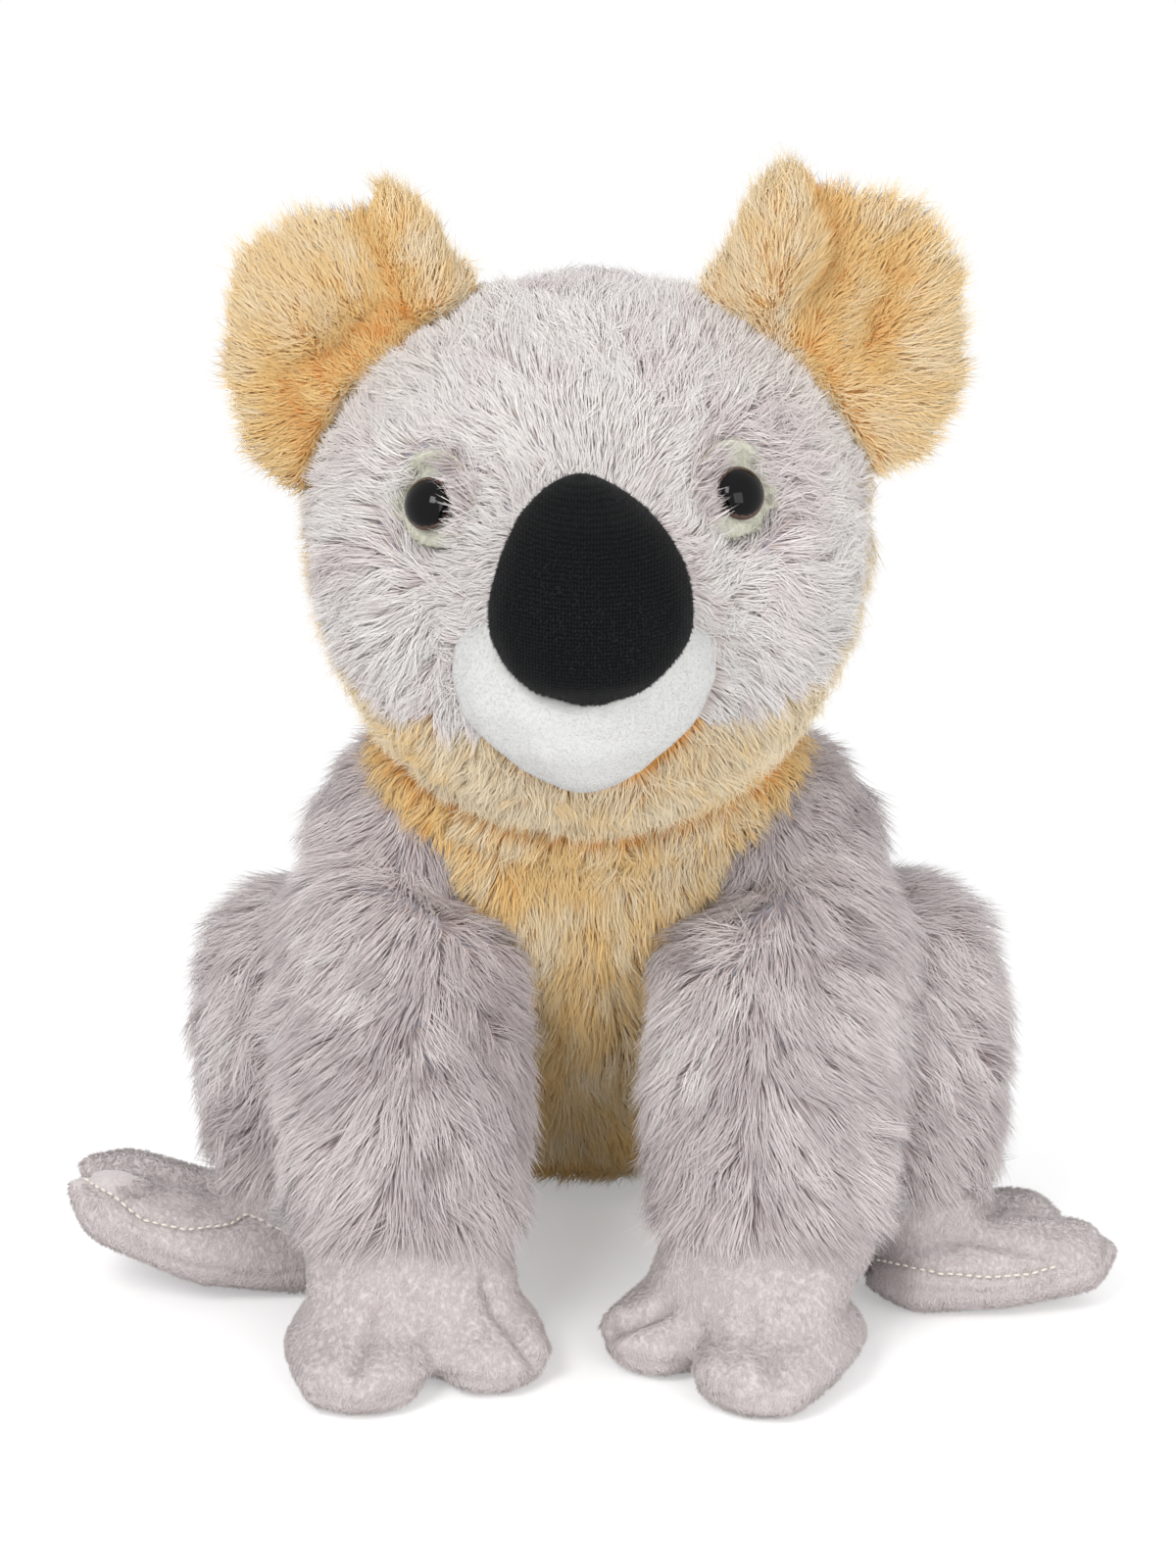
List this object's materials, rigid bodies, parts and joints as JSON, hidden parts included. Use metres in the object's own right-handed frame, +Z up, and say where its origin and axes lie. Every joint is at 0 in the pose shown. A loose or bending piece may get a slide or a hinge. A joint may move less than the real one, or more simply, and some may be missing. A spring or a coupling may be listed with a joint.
{
  "type": "plush koala",
  "caption": "Seated plush koala whose sewn head, ears, arms and legs bend at their seams, with long gray and cream pile over a soft filling.",
  "frame": {"origin": "under the middle of the toy's overall box, on the surface it sits on", "axes": "+Z up, -Y where the toy looks, +X to the toy's own left"},
  "size_m": [0.2486, 0.2446, 0.2884],
  "materials": {
    "gray_plush": "long silky pile, lavender gray",
    "cream_plush": "long silky pile, warm cream",
    "paw_plush": "short velvety pile, pinkish gray",
    "white_fleece": "short white fleece",
    "black_jersey": "black knitted jersey",
    "black_gloss": "polished black dome",
    "patch_plush": "short pile, pale greenish cream",
    "wadding": "loose polyester fibre",
    "nylon": "moulded nylon, satin"
  },
  "bodies": {
    "torso": {"torso_back_panel": "gray_plush", "bib_panel": "cream_plush", "torso_filling": "wadding"},
    "head": {"face_mask_panel": "gray_plush", "nape_panel": "gray_plush", "chin_panel": "cream_plush", "muzzle_panel": "white_fleece", "nose_pad": "black_jersey", "head_filling": "wadding", "eye_patch_right": "patch_plush", "eye_right": "black_gloss", "eye_washer_right": "nylon", "eye_patch_left": "patch_plush", "eye_left": "black_gloss", "eye_washer_left": "nylon"},
    "ear_right": {"ear_back_right": "gray_plush", "ear_front_right": "cream_plush"},
    "ear_left": {"ear_back_left": "gray_plush", "ear_front_left": "cream_plush"},
    "arm_right": {"arm_sleeve_right": "gray_plush", "paw_top_right": "paw_plush", "paw_sole_right": "paw_plush", "arm_filling_right": "wadding"},
    "arm_left": {"arm_sleeve_left": "gray_plush", "paw_top_left": "paw_plush", "paw_sole_left": "paw_plush", "arm_filling_left": "wadding"},
    "leg_right": {"leg_cover_right": "gray_plush", "foot_top_right": "paw_plush", "foot_sole_right": "paw_plush", "leg_filling_right": "wadding"},
    "leg_left": {"leg_cover_left": "gray_plush", "foot_top_left": "paw_plush", "foot_sole_left": "paw_plush", "leg_filling_left": "wadding"}
  },
  "joints": [
    {"name": "head_turn", "type": "hinge", "parent": "torso", "child": "head", "pos_m": [-0.00121, -0.02304, 0.195], "axis": [0, 0, 1], "range_deg": [-25, 25], "stiffness_Nm_per_rad": 0.2},
    {"name": "ear_right_bend", "type": "hinge", "parent": "head", "child": "ear_right", "pos_m": [-0.04569, -0.01904, 0.23948], "axis": [0.7071, 0, 0.7071], "range_deg": [-15, 15], "stiffness_Nm_per_rad": 0.15},
    {"name": "ear_left_bend", "type": "hinge", "parent": "head", "child": "ear_left", "pos_m": [0.04256, -0.01904, 0.24033], "axis": [0.7193, 0, -0.6947], "range_deg": [-15, 15], "stiffness_Nm_per_rad": 0.15},
    {"name": "arm_right_swing", "type": "hinge", "parent": "torso", "child": "arm_right", "pos_m": [-0.04471, -0.00604, 0.117], "axis": [-1, 0, 0], "range_deg": [0, 30], "stiffness_Nm_per_rad": 0.1},
    {"name": "arm_left_swing", "type": "hinge", "parent": "torso", "child": "arm_left", "pos_m": [0.04229, -0.00604, 0.117], "axis": [-1, 0, 0], "range_deg": [0, 30], "stiffness_Nm_per_rad": 0.1},
    {"name": "leg_right_swing", "type": "hinge", "parent": "torso", "child": "leg_right", "pos_m": [-0.04721, 0.05796, 0.042], "axis": [0, 0, -1], "range_deg": [0, 35], "stiffness_Nm_per_rad": 0.1},
    {"name": "leg_left_swing", "type": "hinge", "parent": "torso", "child": "leg_left", "pos_m": [0.04479, 0.05796, 0.042], "axis": [0, 0, 1], "range_deg": [0, 35], "stiffness_Nm_per_rad": 0.1}
  ]
}
